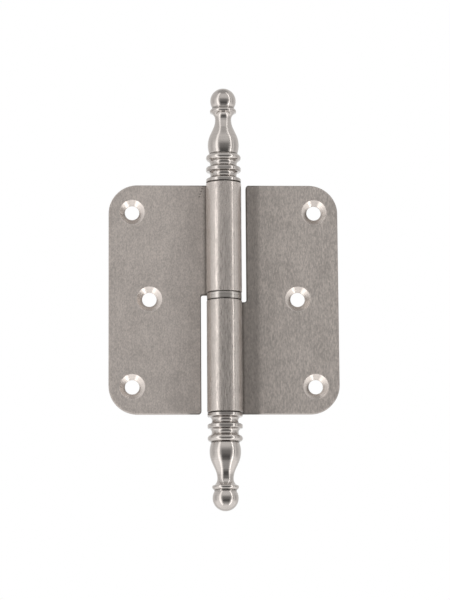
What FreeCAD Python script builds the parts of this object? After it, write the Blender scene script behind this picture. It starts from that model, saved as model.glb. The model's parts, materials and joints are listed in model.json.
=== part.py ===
"""A lift-off paumelle hinge, opened flat.

Two leaves of steel sheet, each rolled at one side into a knuckle, turn about one
pin. The pin is pressed into the lower knuckle, on the frame leaf. The upper
knuckle, on the door leaf, drops over it onto a loose bearing ring, so that the
door can be lifted off. A turned finial with a spigot closes each end of the barrel.

The pin lies on the Z axis and the origin is at its middle, in line with the
middle screws. The countersunk faces look towards -Y. The frame leaf reaches
towards +X and the door leaf towards -X.
"""
import FreeCAD, Part
import math
import os

import Sketcher
from FreeCAD import Placement, Rotation, Vector

SIZES = [
    ("leaf_width", 39.8, "pin axis to the outer edge of a leaf"),
    ("leaf_height", 80.0, "leaves and barrel, along the pin"),
    ("sheet_thickness", 2.5, "steel sheet of both leaves"),
    ("corner_radius", 10.0, "outer corners of a leaf"),
    ("edge_break", 0.3, "small chamfer along cut edges"),
    ("tip_radius", 1.0, "inner corner of a leaf, at the open end of the cut-out"),
    ("knuckle_radius", 6.1, "outside of the rolled knuckles"),
    ("seam_gap", 0.2, "end of the rolled sheet to the leaf it comes back to"),
    ("notch_clearance", 1.8, "other knuckle to the leaf edge beside it"),
    ("notch_radius", 0.8, "inner corner of the cut-out for the other knuckle"),
    ("screw_hole", 5.0, "diameter of the screw holes"),
    ("screw_sink", 8.8, "diameter of the countersinks at the surface"),
    ("screw_margin", 9.5, "outer screws to the upper or lower edge of the leaf"),
    ("outer_screw_edge", 8.15, "outer screws to the outer edge of the leaf"),
    ("middle_screw_edge", 14.1, "middle screw to the outer edge of the leaf"),
    ("ring_inset", 0.1, "bearing ring, in from the outside of the knuckles"),
    ("ring_height", 2.5, "bearing ring, along the pin"),
    ("ring_rise", 0.15, "middle of the bearing ring above the middle of the leaves"),
    ("ring_edge", 0.35, "rounded edges of the bearing ring"),
    ("running_fit", 0.05, "clearance between pin and bore, on the radius"),
    ("pin_relief", 0.5, "top of the pressed shank below the end of its knuckle"),
    ("pin_gap", 3.0, "either end of the pin to the spigot beyond it"),
    ("pin_dome", 1.6, "height of the domed nose of the pin"),
    ("pin_lead", 0.6, "chamfer at the pressed end of the pin"),
    ("spigot_length", 7.0, "spigot of a finial inside its knuckle"),
    ("spigot_lead", 0.5, "chamfer at the end of the spigot"),
    ("band_inset", 0.05, "foot and bands of a finial, in from the knuckle"),
    ("band_edge", 0.35, "rounded edges of the foot and the plain band"),
    ("foot_height", 1.45, "foot of a finial"),
    ("low_groove", 1.25, "radius of the round groove above the foot"),
    ("low_groove_depth", 1.5, "depth of that groove"),
    ("plain_band", 1.45, "height of the plain band above it"),
    ("high_groove", 1.25, "radius of the round groove above the plain band"),
    ("high_groove_depth", 1.42, "depth of that groove"),
    ("round_band", 1.15, "radius of the half-round band above it"),
    ("waist_radius", 4.85, "waist above the half-round band"),
    ("waist_height", 0.25, "waist, along the pin"),
    ("body_radius", 5.4, "widest place of the drawn-out body"),
    ("body_curve", 9.0, "swelling of the body, in profile"),
    ("taper_length", 2.55, "straight taper between the swelling and the neck"),
    ("neck_radius", 2.8, "slenderest place, under the bead"),
    ("neck_curve", 7.6, "hollow below the neck, in profile"),
    ("flare_curve", 2.45, "hollow between the neck and the lip of the bead"),
    ("flare_sweep", 72.0, "turn of that hollow, in degrees"),
    ("bead_height", 1.4, "bead under the ball"),
    ("bead_fullness", 0.72, "radius of the bead's rounded side, as a share of its height"),
    ("bead_undercut", 0.6, "top of the bead, in from its lip"),
    ("collar_height", 0.5, "short collar between bead and ball"),
    ("ball_radius", 4.47, "ball at the tip of the finial"),
    ("ball_seat", 31.0, "where the ball starts, in degrees below its middle"),
]

# What several pieces share, as formulas of the sheet
BORE = "sizes.knuckle_radius - sizes.sheet_thickness"
RUNNING = f"{BORE} - sizes.running_fit"
HALF_HEIGHT = "sizes.leaf_height / 2"
LOWER_KNUCKLE = f"{HALF_HEIGHT} - sizes.ring_height / 2 + sizes.ring_rise"
UPPER_KNUCKLE = f"{HALF_HEIGHT} - sizes.ring_height / 2 - sizes.ring_rise"
NOTCH_EDGE = "sizes.knuckle_radius + sizes.notch_clearance"
PIN_REACH = f"{HALF_HEIGHT} - sizes.spigot_length - sizes.pin_gap"
SHANK_TOP = "sizes.ring_rise - sizes.ring_height / 2 - sizes.pin_relief"
BAND = "sizes.knuckle_radius - sizes.band_inset"

# Points of a line or arc, as a sketch counts them
START, END, CENTRE = range(1, 4)
LEVEL_AXIS, UPRIGHT_AXIS = range(-1, -3, -1)
ORIGIN = (LEVEL_AXIS, START)

doc = FreeCAD.newDocument("paumelle_hinge")
sheet = doc.addObject("Spreadsheet::Sheet", "sizes")
for row, (alias, value, meaning) in enumerate(SIZES, start=1):
    sheet.set(f"A{row}", meaning)
    sheet.set(f"B{row}", str(value))
    sheet.setAlias(f"B{row}", alias)
doc.recompute()


def size(alias):
    """The present value of one size."""
    return float(sheet.get(alias))


def number(formula):
    """The present value of a formula of sizes."""
    return float(sheet.evalExpression(formula.replace("sizes.", "")))


def polar(centre, radius, degrees):
    """The point at an angle on a circle."""
    angle = math.radians(degrees)
    return centre[0] + radius * math.cos(angle), centre[1] + radius * math.sin(angle)


class Outline:
    """A sketch drawn in order, close to its solution, and then held by the sheet's sizes.

    Each item starts where the last one ended. A smooth item also leaves in the same direction.
    """

    def __init__(self, body, name, role, begin=(0, 0)):
        plane = next(item for item in body.Origin.OriginFeatures if item.Role == role)
        self.sketch = body.newObject("Sketcher::SketchObject", name)
        self.sketch.AttachmentSupport = (plane, [""])
        self.sketch.MapMode = "FlatFace"
        self.at = begin
        self.chain = []

    def tie(self, kind, *items):
        return self.sketch.addConstraint(Sketcher.Constraint(kind, *items))

    def measure(self, kind, *items, formula):
        index = self.tie(kind, *items, number(formula))
        self.sketch.setExpression(f"Constraints[{index}]", formula)

    def join(self, item, first, last, smooth):
        if self.chain:
            self.tie("Tangent" if smooth else "Coincident", *self.chain[-1][1], item, first)
        self.chain.append(((item, first), (item, last)))
        return item

    def line_to(self, point, lies=None, smooth=False):
        segment = Part.LineSegment(Vector(*self.at, 0), Vector(*point, 0))
        item = self.join(self.sketch.addGeometry(segment, False), START, END, smooth)
        if lies:
            self.tie(lies, item)
        self.at = point
        return item

    def arc_to(self, centre, radius, first, last, smooth=False):
        """An arc between two angles in degrees, clockwise where the last is the smaller."""
        circle = Part.Circle(Vector(*centre, 0), Vector(0, 0, 1), radius)
        angles = sorted((math.radians(first), math.radians(last)))
        item = self.sketch.addGeometry(Part.ArcOfCircle(circle, *angles), False)
        ends = (START, END) if last > first else (END, START)
        self.at = polar(centre, radius, last)
        return self.join(item, *ends, smooth)

    def close(self, smooth=False):
        kind = "Tangent" if smooth else "Coincident"
        self.tie(kind, *self.chain[-1][1], *self.chain[0][0])

    def circle(self, centre, radius):
        circle = Part.Circle(Vector(*centre, 0), Vector(0, 0, 1), radius)
        return self.sketch.addGeometry(circle, False)


def add_body(name):
    body = doc.addObject("PartDesign::Body", name)
    body.Label = name
    return body


def add_feature(body, kind, name, profile=None):
    feature = body.newObject(f"PartDesign::{kind}", f"{body.Label}_{name}")
    if profile:
        feature.Profile = profile
        doc.recompute()
    return feature


def revolve(body, profile):
    """A turned solid: its profile taken once round the pin axis."""
    turned = add_feature(body, "Revolution", "turned", profile)
    turned.ReferenceAxis = (profile, ["V_Axis"])
    turned.Angle = 360
    doc.recompute()


def stand_on_end(body, end, upside_down):
    """Puts a piece at the upper (1) or lower (-1) end of the barrel."""
    turn = Rotation(Vector(0, 1, 0), 180 if upside_down else 0)
    body.Placement = Placement(Vector(0, 0, 0), turn)
    body.setExpression("Placement.Base.z", f"{end} * {HALF_HEIGHT}")


def edges_where(shape, wanted):
    """Names of the edges of a shape that pass a test."""
    return [f"Edge{n}" for n, edge in enumerate(shape.Edges, start=1) if wanted(edge)]


def leaf_section(body):
    """The sheet seen along the pin: a flat, then the roll round the pin, flush at the back."""
    width = size("leaf_width")
    outside = size("knuckle_radius")
    inside = number(BORE)
    lip = math.degrees(math.asin((inside - size("seam_gap")) / outside))

    drawn = Outline(body, f"{body.Label}_section", "XY_Plane", (width, inside))
    outer_edge = drawn.line_to((width, outside), "Vertical")
    drawn.line_to((0, outside), "Horizontal")
    outer_roll = drawn.arc_to((0, 0), outside, 90, 360 + lip, smooth=True)
    lip_end = drawn.line_to(polar((0, 0), inside, lip))
    bore = drawn.arc_to((0, 0), inside, 360 + lip, 90)
    front = drawn.line_to((width, inside), "Horizontal", smooth=True)
    drawn.close()

    drawn.tie("Coincident", outer_roll, CENTRE, *ORIGIN)
    drawn.tie("Coincident", bore, CENTRE, *ORIGIN)
    drawn.tie("PointOnObject", *ORIGIN, lip_end)
    drawn.measure("DistanceX", *ORIGIN, outer_edge, START, formula="sizes.leaf_width")
    drawn.measure("Radius", outer_roll, formula="sizes.knuckle_radius")
    drawn.measure("Radius", bore, formula=BORE)
    drawn.measure("Distance", lip_end, START, front, formula="sizes.seam_gap")
    return drawn.sketch


def knuckle_cut(body, knuckle):
    """The corner of the sheet that is cut away before rolling, for the other knuckle."""
    level = number(knuckle)
    edge = number(NOTCH_EDGE)
    curve = size("notch_radius")
    beyond = size("knuckle_radius") + curve
    top = size("leaf_height") + curve
    drawn = Outline(body, f"{body.Label}_cut", "XZ_Plane", (-beyond, level))
    floor = drawn.line_to((edge - curve, level), "Horizontal")
    corner = drawn.arc_to((edge - curve, level + curve), curve, 270, 360, smooth=True)
    side = drawn.line_to((edge, top), "Vertical", smooth=True)
    drawn.line_to((-beyond, top), "Horizontal")
    drawn.line_to((-beyond, level), "Vertical")
    drawn.close()
    drawn.measure("DistanceX", floor, START, *ORIGIN, formula="sizes.knuckle_radius + sizes.notch_radius")
    drawn.measure("DistanceY", *ORIGIN, floor, START, formula=knuckle)
    drawn.measure("DistanceX", *ORIGIN, side, START, formula=NOTCH_EDGE)
    drawn.measure("DistanceY", *ORIGIN, side, END, formula="sizes.leaf_height + sizes.notch_radius")
    drawn.measure("Radius", corner, formula="sizes.notch_radius")
    return drawn.sketch


def screw_places(body):
    """Centres of the three screw holes, on the front face of the leaf."""
    drawn = Outline(body, f"{body.Label}_screws", "XZ_Plane")
    drawn.sketch.setExpression("AttachmentOffset.Base.z", f"-({BORE})")
    outer = "sizes.leaf_width - sizes.outer_screw_edge"
    middle = "sizes.leaf_width - sizes.middle_screw_edge"
    places = [
        (outer, "sizes.screw_margin"),
        (middle, HALF_HEIGHT),
        (outer, "sizes.leaf_height - sizes.screw_margin"),
    ]
    for across, along in places:
        hole = drawn.circle((number(across), number(along)), size("screw_hole") / 2)
        drawn.measure("DistanceX", *ORIGIN, hole, CENTRE, formula=across)
        drawn.measure("DistanceY", *ORIGIN, hole, CENTRE, formula=along)
        drawn.measure("Radius", hole, formula="sizes.screw_hole / 2")
    return drawn.sketch


def is_cut_face(face):
    """True for a face that cutting left: it stands square to the surface of the sheet."""
    if isinstance(face.Surface, Part.Cylinder):
        return abs(face.Surface.Axis.y) > 0.5
    normal = face.normalAt(0, 0)
    return abs(normal.z) > 0.5 or abs(normal.x) > 0.99


def make_leaf(name, knuckle, end, upside_down):
    """One leaf with its knuckle, drawn from the finial's end of the barrel upwards."""
    body = add_body(name)
    sheet_pad = add_feature(body, "Pad", "sheet", leaf_section(body))
    sheet_pad.setExpression("Length", "sizes.leaf_height")

    cut = add_feature(body, "Pocket", "knuckle_cut", knuckle_cut(body, knuckle))
    cut.SideType = "Two sides"
    cut.Type = "ThroughAll"
    cut.Type2 = "ThroughAll"
    doc.recompute()

    width = size("leaf_width")
    height = size("leaf_height")

    def corner_at(across):
        def is_corner(edge):
            middle = edge.CenterOfMass
            at_end = min(abs(middle.z), abs(middle.z - height)) < 0.001
            return at_end and abs(middle.x - across) < 0.001
        return is_corner

    corners = add_feature(body, "Fillet", "corners")
    corners.Base = (cut, edges_where(cut.Shape, corner_at(width)))
    corners.setExpression("Radius", "sizes.corner_radius")
    doc.recompute()

    tip = add_feature(body, "Fillet", "tip")
    tip.Base = (corners, edges_where(corners.Shape, corner_at(number(NOTCH_EDGE))))
    tip.setExpression("Radius", "sizes.tip_radius")
    doc.recompute()

    def is_rim(edge):
        faces = tip.Shape.ancestorsOfType(edge, Part.Face)
        return sorted(is_cut_face(face) for face in faces) == [False, True]

    rims = add_feature(body, "Chamfer", "rims")
    rims.Base = (tip, edges_where(tip.Shape, is_rim))
    rims.setExpression("Size", "sizes.edge_break")
    doc.recompute()

    holes = add_feature(body, "Hole", "screw_holes", screw_places(body))
    holes.DepthType = "ThroughAll"
    holes.HoleCutType = "Countersink"
    holes.HoleCutCustomValues = True
    holes.HoleCutCountersinkAngle = 90
    holes.setExpression("Diameter", "sizes.screw_hole")
    holes.setExpression("HoleCutDiameter", "sizes.screw_sink")
    stand_on_end(body, end, upside_down)


def make_bearing_ring():
    """The loose ring that carries the upper knuckle on the lower one."""
    body = add_body("bearing_ring")
    drawn = Outline(body, "bearing_ring_section", "XY_Plane")
    outside = "sizes.knuckle_radius - sizes.ring_inset"
    for formula in (outside, BORE):
        circle = drawn.circle((0, 0), number(formula))
        drawn.tie("Coincident", circle, CENTRE, *ORIGIN)
        drawn.measure("Radius", circle, formula=formula)
    blank = add_feature(body, "Pad", "blank", drawn.sketch)
    blank.Midplane = True
    blank.setExpression("Length", "sizes.ring_height")
    doc.recompute()

    def is_outer_rim(edge):
        return isinstance(edge.Curve, Part.Circle) and edge.Curve.Radius > number(outside) - 0.001

    edges = add_feature(body, "Fillet", "edges")
    edges.Base = (blank, edges_where(blank.Shape, is_outer_rim))
    edges.setExpression("Radius", "sizes.ring_edge")
    body.setExpression("Placement.Base.z", "sizes.ring_rise")


def make_hinge_pin():
    """A shank pressed in the lower knuckle, then a running shank with a domed nose."""
    body = add_body("hinge_pin")
    reach = number(PIN_REACH)
    pressed = number(BORE)
    running = number(RUNNING)
    step = number(SHANK_TOP)
    lead = size("pin_lead")
    dome = size("pin_dome")
    ball = (running ** 2 + dome ** 2) / (2 * dome)

    drawn = Outline(body, "hinge_pin_profile", "XZ_Plane", (0, -reach))
    drawn.line_to((pressed - lead, -reach), "Horizontal")
    chamfer = drawn.line_to((pressed, lead - reach))
    shank = drawn.line_to((pressed, step), "Vertical")
    drawn.line_to((running, step), "Horizontal")
    runner = drawn.line_to((running, reach - dome), "Vertical")
    rise = math.degrees(math.acos(running / ball))
    nose = drawn.arc_to((0, reach - ball), ball, rise, 90)
    axis = drawn.line_to((0, -reach), "Vertical")
    drawn.close()

    drawn.tie("PointOnObject", axis, START, UPRIGHT_AXIS)
    drawn.tie("PointOnObject", nose, CENTRE, UPRIGHT_AXIS)
    drawn.measure("DistanceY", *ORIGIN, axis, START, formula=PIN_REACH)
    drawn.measure("DistanceY", axis, END, *ORIGIN, formula=PIN_REACH)
    drawn.measure("DistanceX", chamfer, START, chamfer, END, formula="sizes.pin_lead")
    drawn.measure("DistanceY", chamfer, START, chamfer, END, formula="sizes.pin_lead")
    drawn.measure("DistanceX", *ORIGIN, shank, END, formula=BORE)
    drawn.measure("DistanceY", *ORIGIN, shank, END, formula=SHANK_TOP)
    drawn.measure("DistanceX", *ORIGIN, runner, END, formula=RUNNING)
    drawn.measure("DistanceY", runner, END, nose, END, formula="sizes.pin_dome")
    revolve(body, drawn.sketch)


def draw_spigot(drawn):
    """The spigot that is pressed into the knuckle, and the seat on the knuckle's end."""
    spigot = number(BORE)
    length = size("spigot_length")
    lead = size("spigot_lead")
    band = number(BAND)
    broken = size("edge_break")
    end = drawn.line_to((spigot - lead, -length), "Horizontal")
    chamfer = drawn.line_to((spigot, lead - length))
    side = drawn.line_to((spigot, 0), "Vertical")
    drawn.line_to((band - broken, 0), "Horizontal")
    edge = drawn.line_to((band, broken))
    drawn.measure("DistanceX", *ORIGIN, side, END, formula=BORE)
    drawn.tie("PointOnObject", side, END, LEVEL_AXIS)
    drawn.measure("DistanceY", end, START, *ORIGIN, formula="sizes.spigot_length")
    for item, chamfered in ((chamfer, "sizes.spigot_lead"), (edge, "sizes.edge_break")):
        drawn.measure("DistanceX", item, START, item, END, formula=chamfered)
        drawn.measure("DistanceY", item, START, item, END, formula=chamfered)


def draw_bands(drawn):
    """Foot, round groove, plain band, round groove and half-round band."""
    band = number(BAND)
    edge = size("band_edge")
    foot_top = size("foot_height")
    low = size("low_groove")
    low_centre = (band - size("low_groove_depth") + low, foot_top + low)
    band_foot = foot_top + 2 * low
    band_top = band_foot + size("plain_band")
    high = size("high_groove")
    high_centre = (band - size("high_groove_depth") + high, band_top + high)
    bulge = size("round_band")
    across = high_centre[0] - (band - bulge)
    along = math.sqrt((high + bulge) ** 2 - across ** 2)
    bulge_centre = (band - bulge, high_centre[1] + along)
    lean = math.degrees(math.atan2(along, -across))

    foot_side = drawn.line_to((band, foot_top - edge), "Vertical")
    foot_edge = drawn.arc_to((band - edge, foot_top - edge), edge, 0, 90, smooth=True)
    foot_land = drawn.line_to((low_centre[0], foot_top), "Horizontal", smooth=True)
    low_groove = drawn.arc_to(low_centre, low, 270, 90)
    band_land = drawn.line_to((band - edge, band_foot), "Horizontal")
    lower_edge = drawn.arc_to((band - edge, band_foot + edge), edge, 270, 360, smooth=True)
    band_side = drawn.line_to((band, band_top - edge), "Vertical", smooth=True)
    upper_edge = drawn.arc_to((band - edge, band_top - edge), edge, 0, 90, smooth=True)
    high_land = drawn.line_to((high_centre[0], band_top), "Horizontal", smooth=True)
    high_groove = drawn.arc_to(high_centre, high, 270, lean)
    round_band = drawn.arc_to(bulge_centre, bulge, lean - 180, 90, smooth=True)

    for side in (foot_side, band_side):
        drawn.measure("DistanceX", *ORIGIN, side, START, formula=BAND)
    for rounded in (foot_edge, lower_edge, upper_edge):
        drawn.measure("Radius", rounded, formula="sizes.band_edge")
    drawn.measure("DistanceY", *ORIGIN, foot_land, END, formula="sizes.foot_height")
    drawn.measure("DistanceY", band_land, END, high_land, START, formula="sizes.plain_band")
    for groove, name in ((low_groove, "low_groove"), (high_groove, "high_groove")):
        centre = f"{BAND} - sizes.{name}_depth + sizes.{name}"
        drawn.measure("Radius", groove, formula=f"sizes.{name}")
        drawn.measure("DistanceX", *ORIGIN, groove, CENTRE, formula=centre)
        drawn.tie("Vertical", groove, END, groove, CENTRE)
    drawn.tie("Vertical", low_groove, CENTRE, low_groove, START)
    drawn.measure("Radius", round_band, formula="sizes.round_band")
    drawn.measure("DistanceX", *ORIGIN, round_band, CENTRE, formula=f"{BAND} - sizes.round_band")
    drawn.tie("Vertical", round_band, CENTRE, round_band, END)


def draw_drawn_out_body(drawn):
    """The body swells above a short waist and tapers to a slender neck that flares out."""
    waist = size("waist_radius")
    waist_top = drawn.at[1] + size("waist_height")
    curve = size("body_curve")
    widest = size("body_radius")
    neck = size("neck_radius")
    hollow_curve = size("neck_curve")
    taper = size("taper_length")
    flare = size("flare_curve")
    centre = (widest - curve, waist_top + math.sqrt(curve ** 2 - (waist - widest + curve) ** 2))
    start = math.degrees(math.atan2(waist_top - centre[1], waist - centre[0]))
    curves = curve + hollow_curve
    lean = math.asin((widest - neck - curves) / math.hypot(curves, taper)) + math.atan2(curves, taper)
    slope = math.degrees(lean)

    waist_line = drawn.line_to((waist, waist_top))
    swelling = drawn.arc_to(centre, curve, start, slope)
    taper_line = drawn.line_to(polar(drawn.at, taper, 90 + slope), smooth=True)
    neck_level = drawn.at[1] + hollow_curve * math.sin(lean)
    hollow_centre = (neck + hollow_curve, neck_level)
    hollow = drawn.arc_to(hollow_centre, hollow_curve, 180 + slope, 180, smooth=True)
    flared = drawn.arc_to((neck + flare, neck_level), flare, 180, 180 - size("flare_sweep"), smooth=True)

    drawn.measure("DistanceX", *ORIGIN, waist_line, END, formula="sizes.waist_radius")
    drawn.measure("DistanceY", waist_line, START, waist_line, END, formula="sizes.waist_height")
    drawn.measure("Radius", swelling, formula="sizes.body_curve")
    drawn.measure("DistanceX", *ORIGIN, swelling, CENTRE, formula="sizes.body_radius - sizes.body_curve")
    drawn.measure("Distance", taper_line, formula="sizes.taper_length")
    drawn.measure("Radius", hollow, formula="sizes.neck_curve")
    drawn.measure("DistanceX", *ORIGIN, hollow, START, formula="sizes.neck_radius")
    drawn.tie("Horizontal", hollow, CENTRE, hollow, START)
    drawn.measure("Radius", flared, formula="sizes.flare_curve")
    lip = "sizes.neck_radius + sizes.flare_curve * (1 - cos(sizes.flare_sweep))"
    drawn.measure("DistanceX", *ORIGIN, flared, START, formula=lip)
    return flared


def draw_bead_and_ball(drawn, flared):
    """A rounded bead on the flared lip, a short collar, and the ball at the tip."""
    lip = drawn.at
    height = size("bead_height")
    undercut = size("bead_undercut")
    curve = size("bead_fullness") * height
    chord = math.hypot(undercut, height)
    inward = math.sqrt(curve ** 2 - chord ** 2 / 4) / chord
    top = (lip[0] - undercut, lip[1] + height)
    centre = ((lip[0] + top[0]) / 2 - inward * height, (lip[1] + top[1]) / 2 - inward * undercut)
    low = math.degrees(math.atan2(lip[1] - centre[1], lip[0] - centre[0]))
    high = math.degrees(math.atan2(top[1] - centre[1], top[0] - centre[0]))
    ball = size("ball_radius")
    seat = size("ball_seat")
    ball_foot = top[1] + size("collar_height")
    ball_centre = (0, ball_foot + ball * math.sin(math.radians(seat)))

    bead = drawn.arc_to(centre, curve, low, high)
    collar = drawn.line_to(polar(ball_centre, ball, -seat))
    ball_side = drawn.arc_to(ball_centre, ball, -seat, 90)

    drawn.measure("Radius", bead, formula="sizes.bead_fullness * sizes.bead_height")
    drawn.measure("DistanceX", bead, END, flared, START, formula="sizes.bead_undercut")
    drawn.measure("DistanceY", flared, START, bead, END, formula="sizes.bead_height")
    drawn.measure("DistanceY", collar, START, collar, END, formula="sizes.collar_height")
    drawn.tie("PointOnObject", ball_side, CENTRE, UPRIGHT_AXIS)
    drawn.measure("Radius", ball_side, formula="sizes.ball_radius")
    ball_start = "sizes.ball_radius * cos(sizes.ball_seat)"
    drawn.measure("DistanceX", *ORIGIN, ball_side, START, formula=ball_start)


def make_finial(name, end, upside_down):
    """A turned ornament, drawn with its seat at the origin and its ball upwards."""
    body = add_body(name)
    drawn = Outline(body, f"{name}_profile", "XZ_Plane", (0, -size("spigot_length")))
    draw_spigot(drawn)
    draw_bands(drawn)
    flared = draw_drawn_out_body(drawn)
    draw_bead_and_ball(drawn, flared)
    axis = drawn.line_to((0, -size("spigot_length")), "Vertical")
    drawn.tie("PointOnObject", axis, START, UPRIGHT_AXIS)
    drawn.close()
    revolve(body, drawn.sketch)
    stand_on_end(body, end, upside_down)


make_leaf("frame_leaf", LOWER_KNUCKLE, -1, upside_down=False)
make_leaf("door_leaf", UPPER_KNUCKLE, 1, upside_down=True)
make_hinge_pin()
make_bearing_ring()
make_finial("upper_finial", 1, upside_down=False)
make_finial("lower_finial", -1, upside_down=True)
doc.recompute()

failed = [item.Name for item in doc.Objects if {"Invalid", "Error"} & set(item.State)]
sketches = [item for item in doc.Objects if item.TypeId == "Sketcher::SketchObject"]
loose = [item.Name for item in sketches if not item.FullyConstrained]
if failed or loose:
    raise RuntimeError(f"failed features: {failed}, loose sketches: {loose}")

pieces = [item for item in doc.Objects if item.TypeId == "PartDesign::Body"]
for piece in pieces:
    if piece.Shape.isNull() or not piece.Shape.isValid() or len(piece.Shape.Solids) != 1:
        raise RuntimeError(f"{piece.Label} is not one valid solid")

os.makedirs("parts", exist_ok=True)
for piece in pieces:
    piece.Shape.exportStep(f"parts/{piece.Label}.step")
    box = piece.Shape.BoundBox
    print(f"{piece.Label}: {piece.Shape.Volume:.0f} mm3, Z {box.ZMin:.2f} to {box.ZMax:.2f}")
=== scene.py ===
# %% Bring in the finished solids
import json
import math

import bpy
from mathutils import Matrix, Vector


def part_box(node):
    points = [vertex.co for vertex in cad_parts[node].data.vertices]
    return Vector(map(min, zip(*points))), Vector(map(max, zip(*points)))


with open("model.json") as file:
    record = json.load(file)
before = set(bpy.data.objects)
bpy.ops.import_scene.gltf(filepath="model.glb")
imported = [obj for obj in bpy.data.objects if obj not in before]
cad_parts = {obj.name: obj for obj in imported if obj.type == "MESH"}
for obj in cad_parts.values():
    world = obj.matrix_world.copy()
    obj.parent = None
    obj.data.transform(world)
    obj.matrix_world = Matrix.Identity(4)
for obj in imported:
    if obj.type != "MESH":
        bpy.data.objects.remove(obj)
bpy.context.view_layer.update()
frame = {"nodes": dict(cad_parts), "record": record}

nodes = frame["nodes"]
for name in sorted(nodes):
    low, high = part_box(name)
    print(name, "is", " x ".join(f"{1000 * side:.1f}" for side in high - low), "mm")

# %% [markdown]
# This lesson dresses a lift-off door hinge made of satin stainless steel. Two leaves of sheet are
# rolled into knuckles round one pin, a loose ring takes the load between the knuckles, and a
# turned finial is pressed into each end. All of these shapes are rigid and exact, so they were
# drawn as solids, and nothing is modelled again here. What is left is what makes steel look like
# steel: the grain that the belt left, the marks of the lathe, soft worn edges, and light.
#
# Everything is in metres, with the pin upright on Z and the flat fronts of the leaves facing -Y.
# The finishes need a few lengths of the hinge, which come from the solids and their mounts.

# %% Lengths that the finishes need
MM = 0.001
mounts = {mount["name"]: mount for mount in frame["record"]["mounts"]}
outer_screws = mounts["frame_leaf_outer_screws"]
middle_screw = mounts["frame_leaf_middle_screw"]
OUTER_HOLE = (outer_screws["pos_m"][0], outer_screws["dims"]["spacing_y_mm"] * MM / 2)
MIDDLE_HOLE = (middle_screw["pos_m"][0], 0)
SINK_RADIUS = 4.4 * MM
KNUCKLE_RADIUS = -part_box("frame_leaf")[0].y
LEAF_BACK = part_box("frame_leaf")[1].y
LEAF_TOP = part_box("frame_leaf")[1].z
print("screw holes at", [round(1000 * v, 2) for v in OUTER_HOLE + MIDDLE_HOLE], "mm from the middle")
print("the knuckles have a radius of", round(1000 * KNUCKLE_RADIUS, 2), "mm")

# %% [markdown]
# A material is a tree of nodes, and a few small helpers keep the trees readable. `add` makes one
# node, and for each of its sockets takes either a plain value or another node's output, which it
# links. `open_group` starts a group, a tree of its own that many materials can share, and `use`
# places it in a material.

# %% Helpers that build node trees


def add(tree, kind, sockets=None, **settings):
    """Adds one shader node; sockets maps a socket's name or number to a value or an output."""
    made = tree.nodes.new("ShaderNode" + kind)
    for setting, choice in settings.items():
        setattr(made, setting, choice)
    for socket, value in (sockets or {}).items():
        if isinstance(value, bpy.types.NodeSocket):
            tree.links.new(value, made.inputs[socket])
        else:
            made.inputs[socket].default_value = value
    return made


def open_group(name, inputs, outputs):
    """An empty node group with named sockets: (tree, its inputs by name, its outputs by name)."""
    tree = bpy.data.node_groups.new(name, "ShaderNodeTree")
    for side, sockets in (("INPUT", inputs), ("OUTPUT", outputs)):
        for title, kind, *value in sockets:
            made = tree.interface.new_socket(
                name=title, in_out=side, socket_type="NodeSocket" + kind
            )
            if value:
                made.default_value = value[0]
    print(name, "gives", ", ".join(title for title, kind in outputs))
    return tree, tree.nodes.new("NodeGroupInput").outputs, tree.nodes.new("NodeGroupOutput").inputs


def use(tree, group, sockets):
    """Places a group in a tree and gives its outputs by name."""
    return add(tree, "Group", sockets, node_tree=group).outputs


# %% [markdown]
# Most of what follows is arithmetic on masks, which are numbers from 0 to 1 over the surface.
# `figure` is one Math node, and `spread` turns one range of numbers into another. `product`,
# `total` and `blend` multiply masks, add them up by weight, and go from one value to another.
# `rest_of` turns a mask over. Grain darkens as much as it brightens, so `centred` moves a mask
# to swing round 0. Most masks start from `noise` or from `far_from`, the distance from a centre.

# %% Helpers for masks and numbers


def figure(tree, operation, *values):
    """One step of arithmetic, as an output."""
    return add(tree, "Math", dict(enumerate(values)), operation=operation).outputs[0]


def product(tree, first, *others):
    """All of the values multiplied."""
    for value in others:
        first = figure(tree, "MULTIPLY", first, value)
    return first


def total(tree, start, *parts):
    """start plus each amount times its value, as one output."""
    for amount, value in parts:
        start = figure(tree, "MULTIPLY_ADD", value, amount, start)
    return start


def blend(tree, share, first, second):
    """first where the share is 0 and second where it is 1."""
    step = figure(tree, "SUBTRACT", second, first)
    return figure(tree, "ADD", first, product(tree, share, step))


def rest_of(tree, mask):
    """Where a mask isn't."""
    return figure(tree, "SUBTRACT", 1.0, mask)


def centred(tree, mask):
    """A mask from 0 to 1 moved to swing both ways round 0."""
    return figure(tree, "SUBTRACT", mask, 0.5)


def spread(tree, value, start, end, low=0.0, high=1.0, smooth=False):
    """Maps start..end to low..high and holds it inside that range."""
    kind = "SMOOTHSTEP" if smooth else "LINEAR"
    return add(
        tree,
        "MapRange",
        {"Value": value, "From Min": start, "From Max": end, "To Min": low, "To Max": high},
        interpolation_type=kind,
    ).outputs[0]


def far_from(tree, across, along):
    """How far a point is from a centre, from its distances across and along."""
    squares = figure(tree, "ADD", product(tree, across, across), product(tree, along, along))
    return figure(tree, "SQRT", squares)


def noise(tree, place, scale, **sockets):
    """One noise texture, as its grey output."""
    return add(tree, "TexNoise", {"Vector": place, "Scale": scale, **sockets}).outputs["Fac"]


# %% [markdown]
# The sheet was ground on a belt before it was cut, so fine straight scratches run along the pin
# on the flat of the leaf and round the knuckle alike. A flat image of grain would need a seam
# somewhere. Noise read at a point of space doesn't: squeezed along Z, its blobs become long
# upright streaks on every side of the piece, and they stay in place when the leaf swings.
#
# The group gives five things to mix with. Dashes are the short marks of the grit, streaks are
# longer, and scratches are the few single ones that catch the light. Hairlines are by far the
# finest, for the shine of the knuckles. Clouds are broad and faint, where the belt pressed more
# or less. A length here is how many times as long as wide the marks are.

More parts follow.
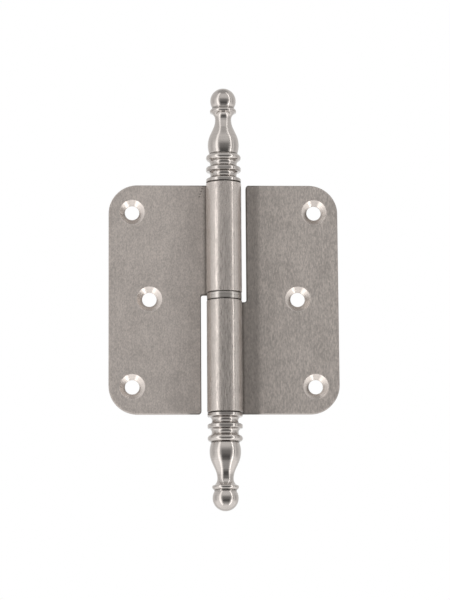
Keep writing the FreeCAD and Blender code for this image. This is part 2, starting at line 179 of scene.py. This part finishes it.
# %% The belt's grain as a group
DASHES_IN_A_STREAK = 9.0
HAIRLINE_LENGTH = 60.0
HAIRLINES_PER_METRE = 18000.0
CLOUDS_PER_METRE = 170.0


def stretched(tree, place, length):
    """The place with its height squeezed, so that noise read there comes out that much longer."""
    squeeze = add(tree, "CombineXYZ", {0: 1.0, 1: 1.0, 2: figure(tree, "DIVIDE", 1.0, length)})
    return add(
        tree, "VectorMath", {0: place, 1: squeeze.outputs[0]}, operation="MULTIPLY"
    ).outputs[0]


grain, given, out = open_group(
    "belt_grain",
    [("Place", "Vector"), ("Lines per metre", "Float", 2600.0), ("Length", "Float", 2.4)],
    [(title, "Float") for title in ("Dashes", "Streaks", "Scratches", "Hairlines", "Clouds")],
)
place, lines = given["Place"], given["Lines per metre"]
short = stretched(grain, place, given["Length"])
long = stretched(grain, place, product(grain, given["Length"], DASHES_IN_A_STREAK))
thin = stretched(grain, place, HAIRLINE_LENGTH)
dashes = noise(grain, short, lines, Detail=2.0, Roughness=0.7)
streaks = noise(grain, long, product(grain, lines, 0.8), Detail=2.0)
single = noise(grain, long, product(grain, lines, 1.6), Detail=1.0)
hairlines = noise(grain, thin, HAIRLINES_PER_METRE, Detail=1.0)
clouds = noise(grain, place, CLOUDS_PER_METRE, Detail=4.0, Roughness=0.62)
grain.links.new(spread(grain, dashes, 0.28, 0.72), out["Dashes"])
grain.links.new(spread(grain, streaks, 0.3, 0.7), out["Streaks"])
grain.links.new(spread(grain, single, 0.66, 0.8, smooth=True), out["Scratches"])
grain.links.new(hairlines, out["Hairlines"])
grain.links.new(spread(grain, clouds, 0.3, 0.7), out["Clouds"])

# %% [markdown]
# A lathe leaves its marks round the axis instead: each ring of the surface has its own height
# and shine. So the noise is read from two numbers only, the distance across from the axis and
# the height along it, which are the same all the way round. Each material works out its own two
# numbers, so the same marks serve the turned countersinks, whose axes lie along Y.

# %% The lathe's marks as a group
turning, given, out = open_group(
    "lathe_marks",
    [("Across", "Float"), ("Along", "Float"), ("Lines per metre", "Float", 3000.0)],
    [("Rings", "Float")],
)
ring_place = add(turning, "CombineXYZ", {0: given["Across"], 1: 0.0, 2: given["Along"]}).outputs[0]
rings = noise(turning, ring_place, given["Lines per metre"], Detail=2.0, Roughness=0.6)
turning.links.new(spread(turning, rings, 0.3, 0.7), out["Rings"])

# %% [markdown]
# No edge of a real part is a perfect corner. Hands, doors and tumbling round it off and rub it
# brighter than the faces. The Bevel node looks a short way round each point and returns the
# normal that a rounded edge would have. Where that differs from the true normal there is an
# edge, so one node gives both the soft normal and the mask for the wear.

# %% Worn edges as a group
wear, given, out = open_group(
    "worn_edges",
    [("Place", "Vector"), ("Reach", "Float", 0.25 * MM)],
    [("Soft normal", "Vector"), ("Worn", "Float")],
)
soft = add(wear, "Bevel", {"Radius": given["Reach"]}, samples=6).outputs[0]
true = add(wear, "NewGeometry").outputs["Normal"]
likeness = add(wear, "VectorMath", {0: soft, 1: true}, operation="DOT_PRODUCT").outputs["Value"]
edge = spread(wear, likeness, 0.99, 0.85)
patches = noise(wear, given["Place"], 900.0, Detail=2.0)
rubbed = product(wear, edge, spread(wear, patches, 0.3, 0.6, 0.35, 1.0))
kept = add(
    wear,
    "Mix",
    {"Factor": spread(wear, likeness, 0.99, 0.97), "A": true, "B": soft},
    data_type="VECTOR",
)
wear.links.new(kept.outputs["Result"], out["Soft normal"])
wear.links.new(rubbed, out["Worn"])

# %% [markdown]
# Steel that has been handled carries thin films and tiny specks that dull it here and there.
# They are hardly seen as colour, but they change how sharply the steel reflects.

# %% Handling marks as a group
handling, given, out = open_group(
    "handling_marks", [("Place", "Vector")], [("Film", "Float"), ("Specks", "Float")]
)
film = noise(handling, given["Place"], 95.0, Detail=5.0, Roughness=0.68, Distortion=0.6)
specks = noise(handling, given["Place"], 1500.0, Detail=1.0)
handling.links.new(spread(handling, film, 0.48, 0.72, smooth=True), out["Film"])
handling.links.new(spread(handling, specks, 0.74, 0.84), out["Specks"])

# %% [markdown]
# The Ambient Occlusion node tells how much of the sky a point sees. With a short reach it finds the
# seams between the pieces, and the darkening there stands both for old dirt and oil where no cloth
# reaches and for painted shade in the joints. With a longer reach it finds the wider corners, such
# as the one beside a knuckle, and the darkening there is painted shade. The two come out apart,
# because each steel weighs them in its own way.

# %% Grime and painted shade in the joints as a group
grime_and_shade_group, given, out = open_group("joint_grime_and_shade", [], [("Seams", "Float"), ("Corners", "Float")])
for title, reach, clean, filled in (
    ("Seams", 0.5 * MM, 0.97, 0.78),
    ("Corners", 2.5 * MM, 0.82, 0.5),
):
    sky = add(grime_and_shade_group, "AmbientOcclusion", {"Distance": reach}, samples=6).outputs["AO"]
    grime_and_shade_group.links.new(spread(grime_and_shade_group, sky, clean, filled, smooth=True), out[title])

# %% [markdown]
# Every steel starts the same way: a Principled shader that is metal all over, the place of the point
# on the piece, and the shared groups with this steel's own values. It ends the same way too, with a
# tone between two greys, grime and painted shade over it, a roughness and a fine relief. What
# differs comes in between: how the effects are weighed, and which of them leads.

# %% The start and the end of every steel
# The dark grey that grime and painted shade both darken the steel towards.
DARK_OF_GRIME_AND_SHADE = (0.09, 0.08, 0.07, 1.0)


def start_steel(name, anisotropy, turned, wear_reach):
    """A metal material, its shader, the place on the piece, its wear, handling, and grime and
    painted shade.
    """
    material = bpy.data.materials.new(name)
    material.use_nodes = True
    tree = material.node_tree
    tree.nodes.clear()
    shader = add(
        tree,
        "BsdfPrincipled",
        {"Metallic": 1.0, "Anisotropic": anisotropy, "Anisotropic Rotation": 0.25 * turned},
    )
    end = add(tree, "OutputMaterial")
    tree.links.new(shader.outputs[0], end.inputs["Surface"])
    place = add(tree, "TexCoord").outputs["Object"]
    worn = use(tree, wear, {"Place": place, "Reach": wear_reach})
    handled = use(tree, handling, {"Place": place})
    grime_and_shade = use(tree, grime_and_shade_group, {})
    return material, tree, shader, place, worn, handled, grime_and_shade


def finish_steel(tree, shader, dark, light, tone, grime_and_shade, roughness, height, depth, normal):
    """Fills the shader: a tone between two greys under grime and painted shade, a roughness and a
    relief.
    """
    colour = add(
        tree, "Mix", {"Factor": tone, "A": (*dark, 1.0), "B": (*light, 1.0)}, data_type="RGBA"
    )
    grimed_and_shaded = add(
        tree, "Mix", {"Factor": grime_and_shade, "A": colour.outputs["Result"], "B": DARK_OF_GRIME_AND_SHADE}, data_type="RGBA"
    )
    tree.links.new(grimed_and_shaded.outputs["Result"], shader.inputs["Base Color"])
    tree.links.new(roughness, shader.inputs["Roughness"])
    relief = add(tree, "Bump", {"Height": height, "Distance": depth, "Normal": normal})
    tree.links.new(relief.outputs[0], shader.inputs["Normal"])


# %% [markdown]
# The leaves are one sheet each, but not one finish. The flat keeps the belt's grain. The knuckle
# was pressed round smooth tools, which calmed its grain and left it shining in fine lines. The
# screw holes were countersunk after the grinding, so the grain stops at their rim and rings
# take over. The cut sides of the sheet were sheared and only broken with a file.
#
# Masks made from the place on the piece tell these zones apart. Both leaves and both ends are
# alike, so the sides are folded together with the absolute values of X and Z, and one pair of
# hole centres then serves all six holes. The way that a face looks, which Texture Coordinate
# gives as its Normal, tells the front and the cut sides from the back.

# %% The zones of a leaf
# The first range marks the band beside the knuckle, which carries painted shadow and painted shade
# on its cut edges. The second is where a softer painted shade fades out beyond it.
BESIDE_KNUCKLE = (13.2 * MM, 11.2 * MM)
TOWARDS_KNUCKLE = (26 * MM, 10 * MM)


def from_nearest_hole(tree, aside, up):
    """How far a point is from the axis of the nearest screw hole."""
    distances = []
    for hole_aside, hole_up in (OUTER_HOLE, MIDDLE_HOLE):
        across = figure(tree, "SUBTRACT", aside, hole_aside)
        rise = figure(tree, "SUBTRACT", up, hole_up)
        distances.append(far_from(tree, across, rise))
    return figure(tree, "MINIMUM", *distances)


def leaf_zones(tree, place):
    """The masks of a leaf's zones, and the measures that they come from, by name."""
    x, y, z = add(tree, "SeparateXYZ", {0: place}).outputs
    aside, up = figure(tree, "ABSOLUTE", x), figure(tree, "ABSOLUTE", z)
    facing = add(tree, "SeparateXYZ", {0: add(tree, "TexCoord").outputs["Normal"]}).outputs[1]
    rim = (KNUCKLE_RADIUS + 0.5 * MM, KNUCKLE_RADIUS + 0.1 * MM)
    knuckle = spread(tree, far_from(tree, x, y), *rim, smooth=True)
    flat = rest_of(tree, knuckle)
    from_hole = from_nearest_hole(tree, aside, up)
    in_circle = spread(tree, from_hole, SINK_RADIUS + 0.05 * MM, SINK_RADIUS - 0.1 * MM)
    off_back = spread(tree, y, LEAF_BACK - 0.05 * MM, LEAF_BACK - 0.2 * MM)
    sink = product(tree, in_circle, off_back)
    belted = rest_of(tree, sink)
    sheared = spread(tree, figure(tree, "ABSOLUTE", facing), 0.9, 0.6)
    return {
        "x": x,
        "y": y,
        "z": z,
        "from hole": from_hole,
        "knuckle": knuckle,
        "flat": flat,
        "sink": sink,
        "belted": belted,
        "cut": product(tree, sheared, flat, belted),
        "front": product(tree, flat, spread(tree, facing, -0.3, -0.8)),
        "beside": spread(tree, aside, *BESIDE_KNUCKLE, smooth=True),
        "nearer": spread(tree, aside, *TOWARDS_KNUCKLE),
    }


# %% [markdown]
# The marks of the tools come next. Those of the belt are calmer on the knuckle and stop at the
# countersinks, where the rings of the cutter show instead. They are kept by name, because tone,
# roughness and relief all follow the same marks, only by different amounts.

# %% The tools' marks on a leaf
CALMER_GRAIN = 0.7
CALMER_CLOUDS = 0.6


def leaf_marks(tree, zone, belt, strength):
    """The marks of the belt and of the cutter, each swinging round 0, by name."""
    calm = total(tree, strength, (-CALMER_GRAIN * strength, zone["knuckle"]))
    grained = product(tree, zone["belted"], calm)
    less_cloud = total(tree, 1.0, (-CALMER_CLOUDS, zone["knuckle"]))
    cutter = use(
        tree,
        turning,
        {"Across": zone["from hole"], "Along": zone["y"], "Lines per metre": 2600.0},
    )
    return {
        "dashed": product(tree, centred(tree, belt["Dashes"]), grained),
        "streaked": product(tree, centred(tree, belt["Streaks"]), grained),
        "clouded": product(tree, centred(tree, belt["Clouds"]), less_cloud),
        "ringed": product(tree, centred(tree, cutter["Rings"]), zone["sink"]),
    }


# %% [markdown]
# Not all that is dark on a leaf is dirt. On the front, the band beside the knuckle is darkened with
# painted shadow, which deepens the shadow that the knuckle casts, and a softer painted shade fades
# out beyond it. The cut edges of that band are darkened with painted shade as well. A short slanting
# row of dark dots starts at the top edge: painted shade of the gap where the rolled end meets the
# leaf. It lies at a negative X, so only the door leaf has it. One mask for all of this and the grime
# darkens the steel and leaves it a metal.

# %% Grime and painted shade on a leaf
# The dots are painted shade of the gap where the rolled end of the knuckle meets the leaf.
GAP_DOTS_ASIDE = 6.9 * MM
GAP_DOTS_SLANT = 0.35
GAP_DOTS_TURN = 6600.0


def gap_shade_dots(tree, zone):
    """A slanting row of dots of painted shade, made by a sine, from the top edge to a few
    millimetres below it.
    """
    below_top = figure(tree, "SUBTRACT", LEAF_TOP, zone["z"])
    off_row = total(tree, GAP_DOTS_ASIDE, (1.0, zone["x"]), (GAP_DOTS_SLANT, below_top))
    dots = figure(tree, "SINE", product(tree, below_top, GAP_DOTS_TURN))
    return product(
        tree,
        spread(tree, figure(tree, "ABSOLUTE", off_row), 0.4 * MM, 0.15 * MM),
        zone["front"],
        spread(tree, dots, -0.2, 0.5),
        spread(tree, below_top, 5.0 * MM, 4.7 * MM),
    )


def dark_marks(tree, zone, worn, grime_and_shade, knuckle_shadow):
    """Grime, the painted shadow beside the knuckle, its softer painted shade, the painted shade on
    the cut edges and the dots, as one mask.
    """
    # Painted shade in the wider corners of the flat; grime and painted shade in the seams.
    corner_shade = product(tree, grime_and_shade["Corners"], zone["flat"])
    grimed_and_shaded = figure(tree, "MAXIMUM", grime_and_shade["Seams"], corner_shade)
    grimed_and_shaded = product(tree, grimed_and_shaded, total(tree, 1.0, (-0.9, zone["sink"])))
    # Painted shade on the worn and cut edges beside the knuckle.
    shaded_cut_edges = product(tree, figure(tree, "MAXIMUM", worn["Worn"], zone["cut"]), zone["beside"])
    return total(
        tree,
        grimed_and_shaded,
        # Painted shadow of the knuckle on the band beside it, then a softer painted shade further
        # out.
        (knuckle_shadow, product(tree, zone["beside"], zone["front"])),
        (0.32 * knuckle_shadow, product(tree, zone["nearer"], zone["front"])),
        (0.7, shaded_cut_edges),
        (0.6, gap_shade_dots(tree, zone)),
    )


# %% [markdown]
# A countersink is a small cone in which light bounces from side to side, so it mirrors mostly
# itself and comes out dull. The real ones catch the light of the room. So their normals lean a
# little towards the front. The Vector Transform node turns that direction with the leaf, so it
# holds in every pose.

# %% Normals that lean to the front in the countersinks
LEAN = 0.15


def leaning(tree, sink, normal):
    """The normal, leaning towards the front of the leaf inside the countersinks."""
    front = add(
        tree,
        "VectorTransform",
        {0: (0, -1, 0)},
        vector_type="NORMAL",
        convert_from="OBJECT",
        convert_to="WORLD",
    )
    return add(
        tree,
        "Mix",
        {"Factor": product(tree, sink, LEAN), "A": normal, "B": front.outputs[0]},
        data_type="VECTOR",
    ).outputs["Result"]


# %% [markdown]
# Now the steel of a leaf is put together. Fine parallel scratches spread a reflection across
# themselves, which the Anisotropic socket does, so it is up everywhere but in the countersinks.
# Dashes lead the tone. The hairlines lead the shine of the knuckle, which is smooth along some
# lines and dull along others, so that it mirrors the room in fine upright streaks.

# %% Satin steel of the leaves
SPREAD_BY_GRAIN = 0.7


def satin_steel(name, dark, light, grain_strength, grain_length, knuckle_shadow):
    """The steel of one leaf: flat, knuckle, countersinks and cut sides."""
    material, tree, shader, place, worn, handled, grime_and_shade = start_steel(
        name, anisotropy=0.0, turned=0, wear_reach=0.3 * MM
    )
    zone = leaf_zones(tree, place)
    belt = use(tree, grain, {"Place": place, "Length": grain_length})
    mark = leaf_marks(tree, zone, belt, grain_strength)
    tree.links.new(product(tree, zone["belted"], SPREAD_BY_GRAIN), shader.inputs["Anisotropic"])
    tone = total(
        tree,
        0.5,
        (0.95, mark["dashed"]),
        (0.15, mark["streaked"]),
        (0.28, mark["clouded"]),
        (0.12, product(tree, belt["Scratches"], zone["belted"])),
        (0.2, mark["ringed"]),
        (0.35, zone["sink"]),
        (0.3, worn["Worn"]),
        (-0.2, handled["Film"]),
        (-0.5, handled["Specks"]),
        (-0.5, zone["cut"]),
    )
    roughness = total(
        tree,
        0.58,
        (0.1, mark["dashed"]),
        (0.04, mark["clouded"]),
        (-0.47, product(tree, zone["knuckle"], spread(tree, belt["Hairlines"], 0.36, 0.56))),
        (-0.38, zone["sink"]),
        (0.05, mark["ringed"]),
        (0.04, handled["Film"]),
    )
    height = total(
        tree, 0.0, (1.0, mark["dashed"]), (0.6, mark["streaked"]), (0.4, mark["ringed"])
    )
    finish_steel(
        tree,
        shader,
        dark=dark,
        light=light,
        tone=tone,
        grime_and_shade=dark_marks(tree, zone, worn, grime_and_shade, knuckle_shadow),
        roughness=roughness,
        height=product(tree, height, spread(tree, zone["knuckle"], 0.0, 1.0, 1.0, 0.04)),
        depth=0.005 * MM,
        normal=leaning(tree, zone["sink"], worn["Soft normal"]),
    )
    print(name, "has", len(tree.nodes), "nodes")
    return material


# %% [markdown]
# The two leaves have their own grain: the frame leaf's is stronger and longer. The frame leaf's
# greys are a little darker, partly as another sheet and partly as painted shade, and the band beside
# its knuckle carries a much darker painted shadow. So each has its own steel, made by the same
# function with other values.

# %% The steels of the two leaves
door_steel = satin_steel(
    "satin_door_leaf_steel",
    dark=(0.55, 0.514, 0.49),
    light=(0.82, 0.767, 0.73),
    grain_strength=1.15,
    grain_length=1.8,
    knuckle_shadow=0.06,
)
# The frame leaf's darker greys are partly painted shade.
frame_steel = satin_steel(
    "satin_frame_leaf_steel",
    dark=(0.5, 0.469, 0.446),
    light=(0.795, 0.743, 0.705),
    grain_strength=1.3,
    grain_length=2.8,
    knuckle_shadow=0.27,
)

# %% [markdown]
# The finials, the ring and the pin all come off a lathe, so their marks run round the axis.
# Such marks spread a reflection along the piece. The quarter turn of the shader's anisotropy
# does that, and it is weak, because these pieces are smoother than the leaves.

# %% Turned steel


def turned_steel(name, lines, marks, roughness, dark, light):
    """A steel with marks round the axis: so many lines per metre, and marks from 0 to 1 strong."""
    material, tree, shader, place, worn, handled, grime_and_shade = start_steel(
        name, anisotropy=0.15, turned=1, wear_reach=0.15 * MM
    )
    x, y, z = add(tree, "SeparateXYZ", {0: place}).outputs
    across = far_from(tree, x, y)
    lathe = use(tree, turning, {"Across": across, "Along": z, "Lines per metre": lines})
    ringed = centred(tree, lathe["Rings"])
    tone = total(
        tree,
        0.5,
        (0.5 * marks, ringed),
        (0.25, worn["Worn"]),
        (-0.15, handled["Film"]),
        (-0.4, handled["Specks"]),
    )
    shine = total(
        tree, roughness, (0.12 * marks, ringed), (0.06, handled["Film"]), (0.05, handled["Specks"])
    )
    finish_steel(
        tree,
        shader,
        dark=dark,
        light=light,
        tone=tone,
        # Grime and painted shade in the seams, and a little painted shade in the corners.
        grime_and_shade=total(tree, 0.0, (0.95, grime_and_shade["Seams"]), (0.1, grime_and_shade["Corners"])),
        roughness=shine,
        height=ringed,
        depth=0.004 * MM * marks,
        normal=worn["Soft normal"],
    )
    print(name, "has", len(tree.nodes), "nodes")
    return material


# %% [markdown]
# The finials were polished until the marks almost went, the ring was left as the tool cut it,
# and the pin was ground and carries a little grease, which fills its marks.

# %% The steels of the finials, the ring and the pin
finial_steel = turned_steel(
    "polished_finial_steel",
    lines=2600.0,
    marks=0.5,
    roughness=0.14,
    dark=(0.455, 0.435, 0.42),
    light=(0.74, 0.705, 0.68),
)
ring_steel = turned_steel(
    "turned_ring_steel",
    lines=3200.0,
    marks=1.0,
    roughness=0.22,
    dark=(0.45, 0.43, 0.413),
    light=(0.73, 0.7, 0.67),
)
pin_steel = turned_steel(
    "ground_pin_steel",
    lines=5200.0,
    marks=0.7,
    roughness=0.18,
    dark=(0.41, 0.395, 0.38),
    light=(0.69, 0.66, 0.63),
)

# %% [markdown]
# The solids keep their meshes as they are. Each has one material slot, named in the record, and
# the new steel takes its place there.

# %% Put the steels on the pieces
STEELS = {
    "frame_leaf": frame_steel,
    "door_leaf": door_steel,
    "hinge_pin": pin_steel,
    "bearing_ring": ring_steel,
    "upper_finial": finial_steel,
    "lower_finial": finial_steel,
}
for name, steel in STEELS.items():
    for slot in nodes[name].material_slots:
        slot.material = steel
    print(name, "has", len(nodes[name].material_slots), "slot, now", steel.name)

# %% [markdown]
# The hinge hangs upright with nothing under it, as it would on its frame, and the camera stands
# a little below it. The floor is a wide pale disc under both, so that it only shows from
# higher angles, where it carries the soft shadow. It is made by hand in the usual way: a circle
# filled with a face, whose middle is inset and raised, so that the rim falls away gently.

# %% The pale floor
FLOOR_LEVEL = -0.17
FLOOR_RADIUS = 1.5
RIM_WIDTH = 0.1
RIM_FALL = 0.02
bpy.ops.object.select_all(action="DESELECT")
bpy.ops.mesh.primitive_circle_add(
    vertices=96, radius=FLOOR_RADIUS, fill_type="NGON", location=(0, 0, 0)
)
floor = bpy.context.object
floor.name = "floor"
bpy.ops.object.mode_set(mode="EDIT")
bpy.ops.mesh.select_all(action="SELECT")
bpy.ops.transform.translate(value=(0, 0, FLOOR_LEVEL - RIM_FALL))
bpy.ops.mesh.inset(thickness=RIM_WIDTH, depth=RIM_FALL)
bpy.ops.object.mode_set(mode="OBJECT")
print("the floor is a disc of", 2 * FLOOR_RADIUS, "m,", round(-FLOOR_LEVEL, 2), "m under the middle")

# %% [markdown]
# Matt paper makes the quietest floor. It only needs a faint tooth, so that it isn't a flat
# patch of colour. It shows itself and the shadow on it to the camera from above. Seen from
# below, mirrored in the steel or in the way of light from below, it is clear, so the steel
# mirrors the light of the studio there.

# %% Paper for the floor
paper = bpy.data.materials.new("floor_paper")
paper.use_nodes = True
tree = paper.node_tree
tree.nodes.clear()
shader = add(tree, "BsdfPrincipled", {"Specular IOR Level": 0.2})
end = add(tree, "OutputMaterial")
clear = add(tree, "BsdfTransparent")
rays = add(tree, "LightPath").outputs
passes = figure(tree, "MAXIMUM", rays["Is Glossy Ray"], rays["Is Shadow Ray"])
passes = figure(tree, "MAXIMUM", passes, add(tree, "NewGeometry").outputs["Backfacing"])
either = add(tree, "MixShader", {0: passes, 1: shader.outputs[0], 2: clear.outputs[0]})
tree.links.new(either.outputs[0], end.inputs["Surface"])
tooth = noise(tree, add(tree, "TexCoord").outputs["Object"], 900.0, Detail=3.0)
pulp = add(
    tree,
    "Mix",
    {"Factor": tooth, "A": (0.8, 0.8, 0.8, 1.0), "B": (0.86, 0.86, 0.855, 1.0)},
    data_type="RGBA",
)
tree.links.new(pulp.outputs["Result"], shader.inputs["Base Color"])
tree.links.new(spread(tree, tooth, 0.3, 0.7, 0.75, 0.9), shader.inputs["Roughness"])
relief = add(tree, "Bump", {"Height": tooth, "Distance": 0.05 * MM})
tree.links.new(relief.outputs[0], shader.inputs["Normal"])
floor.data.materials.append(paper)
print("the floor has", len(floor.data.polygons), "faces of", paper.name)

# %% [markdown]
# A photographer lights shiny metal by what it can see. Tall soft boxes stand at the sides, so
# bright bands run down the knuckles and outline every turned form.
#
# Each soft box is an area lamp that faces the hinge. It is placed by its direction, as on a
# compass: 0 degrees is in front, where the camera stands, and positive angles go towards +X.
# Both reach far above and below the hinge, because the slopes of the finials would mirror
# their ends. All the light is a touch warm, as it is in the photograph.

# %% Soft boxes
WARM = (1.03, 1.0, 0.975)


def soft_box(name, direction, away, width, bottom, top, glow):
    """An upright area lamp, so far away at a compass direction in degrees, turned to the hinge."""
    turn = math.radians(direction)
    height = top - bottom
    stand = Vector((away * math.sin(turn), -away * math.cos(turn), (bottom + top) / 2))
    bpy.ops.object.light_add(type="AREA", location=stand)
    lamp = bpy.context.object
    lamp.name = name
    lamp.rotation_euler = Vector((-stand.x, -stand.y, 0)).to_track_quat("-Z", "Y").to_euler()
    lamp.data.shape = "RECTANGLE"
    lamp.data.size = width
    lamp.data.size_y = height
    lamp.data.energy = glow * width * height * math.pi
    lamp.data.color = WARM
    lamp.visible_camera = False
    print(name, "gives", round(lamp.data.energy, 2), "W")


soft_box("left_strip", -52, away=0.8, width=0.26, bottom=-1.5, top=2.2, glow=0.72)
soft_box("right_strip", 57, away=0.8, width=0.105, bottom=-1.5, top=2.2, glow=1.68)

# %% [markdown]
# The floor needs light of its own to come out pale and to carry a soft shadow, as it would from
# the ceiling of a real room. This lamp hangs above, and the steel doesn't mirror it, so it
# changes next to nothing on the hinge.

# %% Light for the floor
bpy.ops.object.light_add(type="AREA", location=(0, -0.1, 1.3))
ceiling = bpy.context.object
ceiling.name = "ceiling_light"
ceiling.data.shape = "DISK"
ceiling.data.size = 0.15
ceiling.data.energy = 5.0
ceiling.visible_camera = False
ceiling.visible_glossy = False
print("the ceiling gives", ceiling.data.energy, "W")

# %% [markdown]
# The world is the rest of the studio. A round piece of steel mirrors a whole room, so the room
# is described by the way that a ray goes: its height, from -1 straight down to 1 straight up,
# and its compass direction, counted as for the soft boxes. Smooth masks of these two say which
# part of the room a ray meets.

# %% The ways that a ray can go
MIDDLE_OF_FRONT = 4.0
world = bpy.data.worlds.new("studio")
bpy.context.scene.world = world
world.use_nodes = True
tree = world.node_tree
tree.nodes.clear()
x, y, z = add(tree, "SeparateXYZ", {0: add(tree, "TexCoord").outputs["Generated"]}).outputs
compass = figure(tree, "DEGREES", figure(tree, "ARCTAN2", x, product(tree, y, -1.0)))
aside = figure(tree, "ABSOLUTE", figure(tree, "SUBTRACT", compass, MIDDLE_OF_FRONT))
in_front = spread(tree, aside, 50.0, 28.0, smooth=True)
behind = spread(tree, y, 0.3, 0.7, smooth=True)
backdrop = spread(tree, y, 0.8, 0.97, smooth=True)
above = spread(tree, z, 0.1, 0.6, smooth=True)
straight_up = spread(tree, z, 0.8, 0.95, smooth=True)
below = spread(tree, z, -0.05, -0.45, smooth=True)
far_below = spread(tree, z, -0.42, -0.85, smooth=True)
straight_down = spread(tree, z, -0.8, -0.93, smooth=True)
print("the world has", len(tree.nodes), "nodes so far")

# %% [markdown]
# The walls differ all the way round: pale cards and darker gaps stand beside the lamps, and the
# knuckles and finials mirror them as upright bands. A Color Ramp read by compass direction
# holds them as a ring of greys, which closes behind the hinge. Moving a stop can change the
# order of the stops, so all are moved first and only then given their greys.

# %% The ring of greys
ROUND_ABOUT = (
    (-180, 0.74),
    (-125, 0.76),
    (-104, 0.6),
    (-90, 0.66),
    (-80, 0.85),
    (-62, 0.95),
    (-30, 0.6),
    (30, 0.6),
    (60, 0.42),
    (69, 0.42),
    (74, 0.85),
    (81, 0.85),
    (87, 0.5),
    (102, 0.6),
    (125, 0.76),
    (180, 0.74),
)
walls = add(tree, "ValToRGB", {"Fac": total(tree, 0.5, (1 / 360, compass))})
stops = walls.color_ramp.elements
while len(stops) < len(ROUND_ABOUT):
    stops.new(1.0)
for stop, (direction, grey) in zip(stops, ROUND_ABOUT):
    stop.position = direction / 360 + 0.5
for stop, (direction, grey) in zip(stops, ROUND_ABOUT):
    stop.color = (grey, grey, grey, 1.0)
print("the ring of greys has", len(stops), "stops")

# %% [markdown]
# The parts of the room are laid over each other, each by its mask. The walls turn to one grey
# above and to bright below. The camera's side, which the flat leaves mirror, is kept dark, so
# that they come out a calm grey. It is darkest a little below the level of the hinge, and paler
# higher up and far below. Pale paper hangs behind the hinge.
#
# Camera rays see plain white, so the picture keeps its white ground at every angle. So do rays
# that something clear lets through, and rays that the steel mirrors straight to the back.

# %% The studio put together
ROOM_ABOVE, ROOM_BELOW = 0.7, 1.05
FRONT, FRONT_ABOVE, FRONT_BELOW, FRONT_FAR_BELOW = 0.23, 0.75, 0.11, 0.55
UNDERFOOT, OVERHEAD, PAPER_BEHIND = 1.0, 0.42, 0.74
room = blend(tree, above, walls.outputs["Color"], ROOM_ABOVE)
room = blend(tree, below, room, ROOM_BELOW)
front = blend(tree, spread(tree, z, 0.05, 0.5, smooth=True), FRONT, FRONT_ABOVE)
front = blend(tree, spread(tree, z, 0.0, -0.35, smooth=True), front, FRONT_BELOW)
front = blend(tree, far_below, front, FRONT_FAR_BELOW)
room = blend(tree, in_front, room, front)
room = blend(tree, straight_down, room, UNDERFOOT)
room = blend(tree, straight_up, room, OVERHEAD)
studio = blend(tree, behind, room, PAPER_BEHIND)
warmed = {channel: product(tree, studio, WARM[channel]) for channel in range(3)}
studio_light = add(tree, "CombineColor", warmed).outputs[0]
rays = add(tree, "LightPath").outputs
seen = figure(tree, "MAXIMUM", rays["Is Camera Ray"], rays["Is Transmission Ray"])
mirrored = product(tree, rays["Is Glossy Ray"], backdrop)
white = figure(tree, "MAXIMUM", seen, mirrored)
ground = add(
    tree, "Mix", {"Factor": white, "A": studio_light, "B": (1.0, 1.0, 1.0, 1.0)}, data_type="RGBA"
).outputs["Result"]
sky = add(tree, "Background", {"Color": ground, "Strength": 1.0})
end = add(tree, "OutputWorld")
tree.links.new(sky.outputs[0], end.inputs["Surface"])
print("the world has", len(tree.nodes), "nodes")

# %% [markdown]
# The photograph was taken from a little below and a little to the left, from about 85
# centimetres away, with a long lens. Edges and screw holes measured in it give these angles.
# The picture is shifted by a few pixels, so that the hinge stands where it stands there.

# %% The camera
DISTANCE = 0.85
LOOK_UP, TO_THE_LEFT, ROLL = (math.radians(angle) for angle in (9.08, 2.72, 0.39))
PICTURE = (450, 600)
PIXELS_PER_TANGENT = 2469
SHIFT_PIXELS = (0.72, -2.76)
aim = Vector(
    (
        math.sin(TO_THE_LEFT) * math.cos(LOOK_UP),
        math.cos(TO_THE_LEFT) * math.cos(LOOK_UP),
        math.sin(LOOK_UP),
    )
)
bpy.ops.object.camera_add(location=-DISTANCE * aim)
camera = bpy.context.object
camera.name = "camera"
turned = aim.to_track_quat("-Z", "Y").to_matrix() @ Matrix.Rotation(-ROLL, 3, "Z")
camera.rotation_euler = turned.to_euler()
camera.data.sensor_fit = "VERTICAL"
camera.data.sensor_height = 36.0
camera.data.lens = camera.data.sensor_height * PIXELS_PER_TANGENT / PICTURE[1]
camera.data.shift_x, camera.data.shift_y = (pixels / PICTURE[1] for pixels in SHIFT_PIXELS)
camera.data.clip_start = 0.01
bpy.context.scene.camera = camera
bpy.context.scene.view_settings.view_transform = "Standard"
print("the lens is", round(camera.data.lens, 1), "mm")
